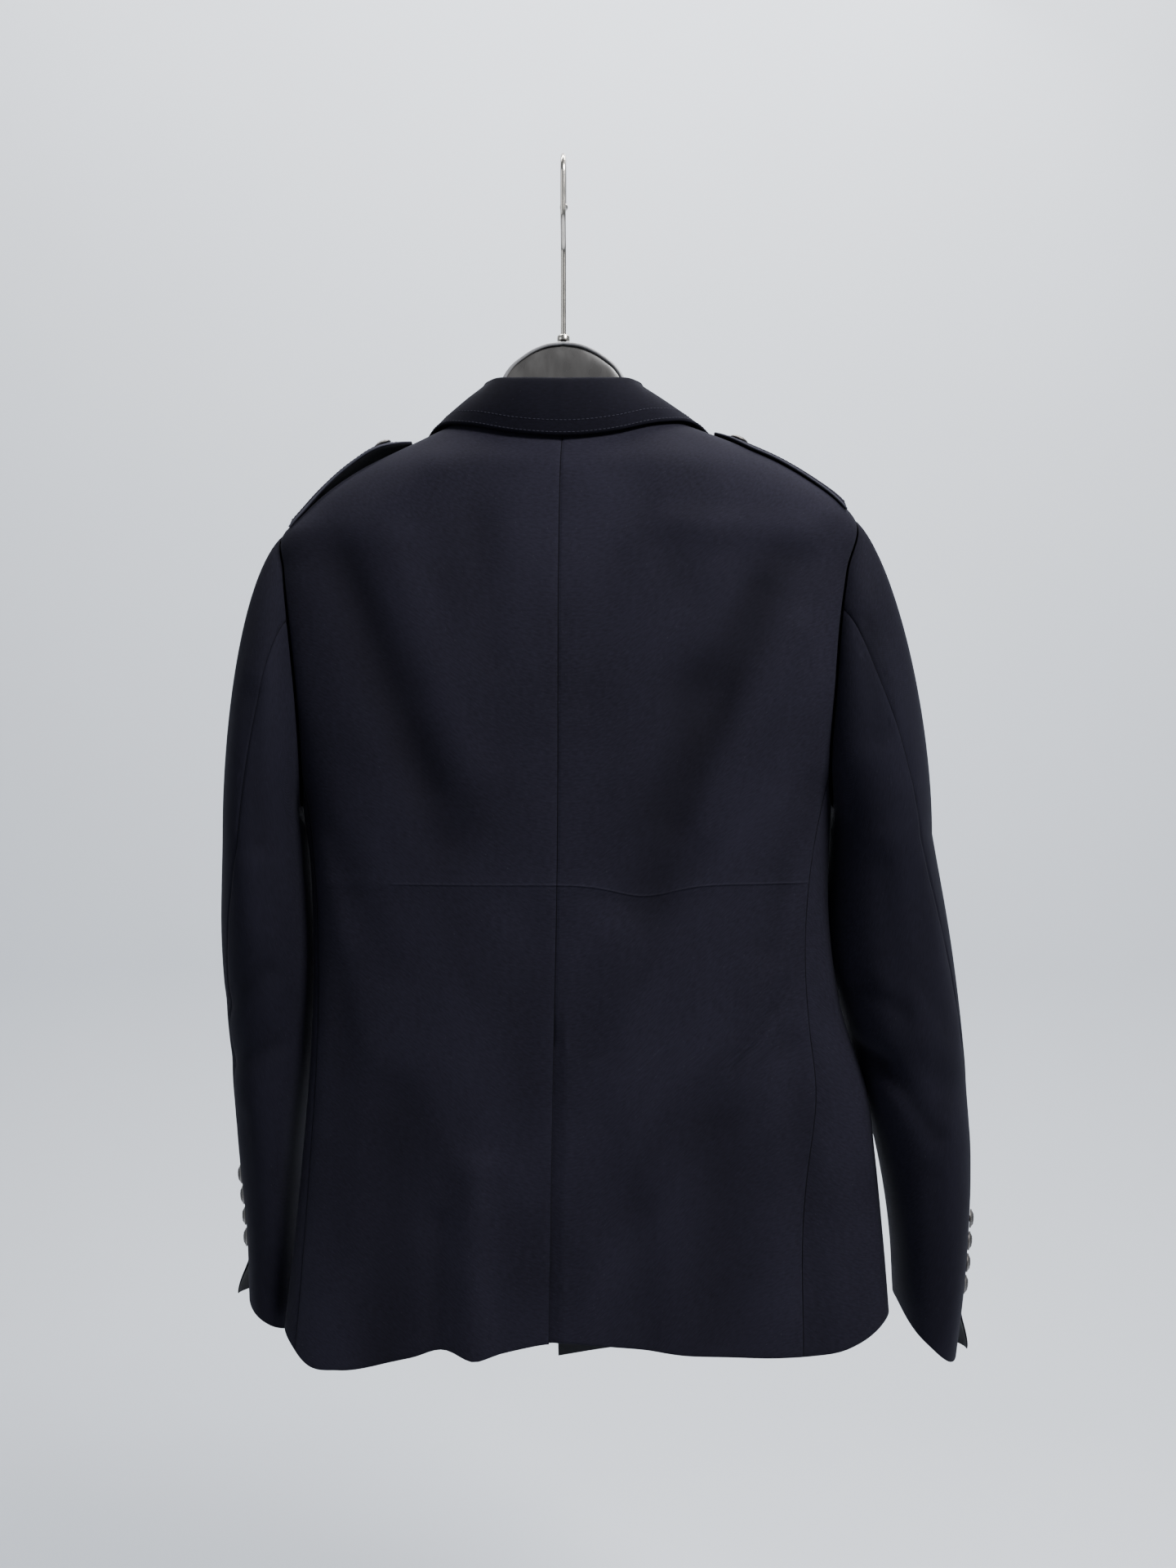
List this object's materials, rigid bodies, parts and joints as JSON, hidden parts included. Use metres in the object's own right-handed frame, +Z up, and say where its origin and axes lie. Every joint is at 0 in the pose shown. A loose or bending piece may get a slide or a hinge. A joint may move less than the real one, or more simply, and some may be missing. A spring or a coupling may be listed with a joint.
{
  "type": "blazer on hanger",
  "caption": "Navy single-breasted tailored blazer with notched lapels, shoulder straps, domed metal buttons and a back vent, hanging on a moulded hanger.",
  "frame": {"origin": "inner top of the hanger's hook, where it rests on a rail", "axes": "+X to the wearer's left, -Y to the garment's front, +Z up"},
  "size_m": [0.6014, 0.1806, 0.973],
  "materials": {
    "cloth": "fine wool twill",
    "hanger": "semi-gloss moulded",
    "wire": "polished wire",
    "button": "aged, raised relief"
  },
  "bodies": {
    "root": {"back_left": "cloth", "back_right": "cloth", "collar": "cloth", "collar_stand": "cloth", "cuff_button_left_1": "button", "cuff_button_left_2": "button", "cuff_button_left_3": "button", "cuff_button_left_4": "button", "cuff_button_right_1": "button", "cuff_button_right_2": "button", "cuff_button_right_3": "button", "cuff_button_right_4": "button", "epaulette_button_left": "button", "epaulette_button_right": "button", "epaulette_left": "cloth", "epaulette_right": "cloth", "front_button_1": "button", "front_button_2": "button", "front_left": "cloth", "front_right": "cloth", "hanger": "hanger", "hook": "wire", "lapel_left": "cloth", "lapel_right": "cloth", "side_left": "cloth", "side_right": "cloth", "sleeve_top_left": "cloth", "sleeve_top_right": "cloth", "sleeve_under_left": "cloth", "sleeve_under_right": "cloth"}
  },
  "joints": []
}
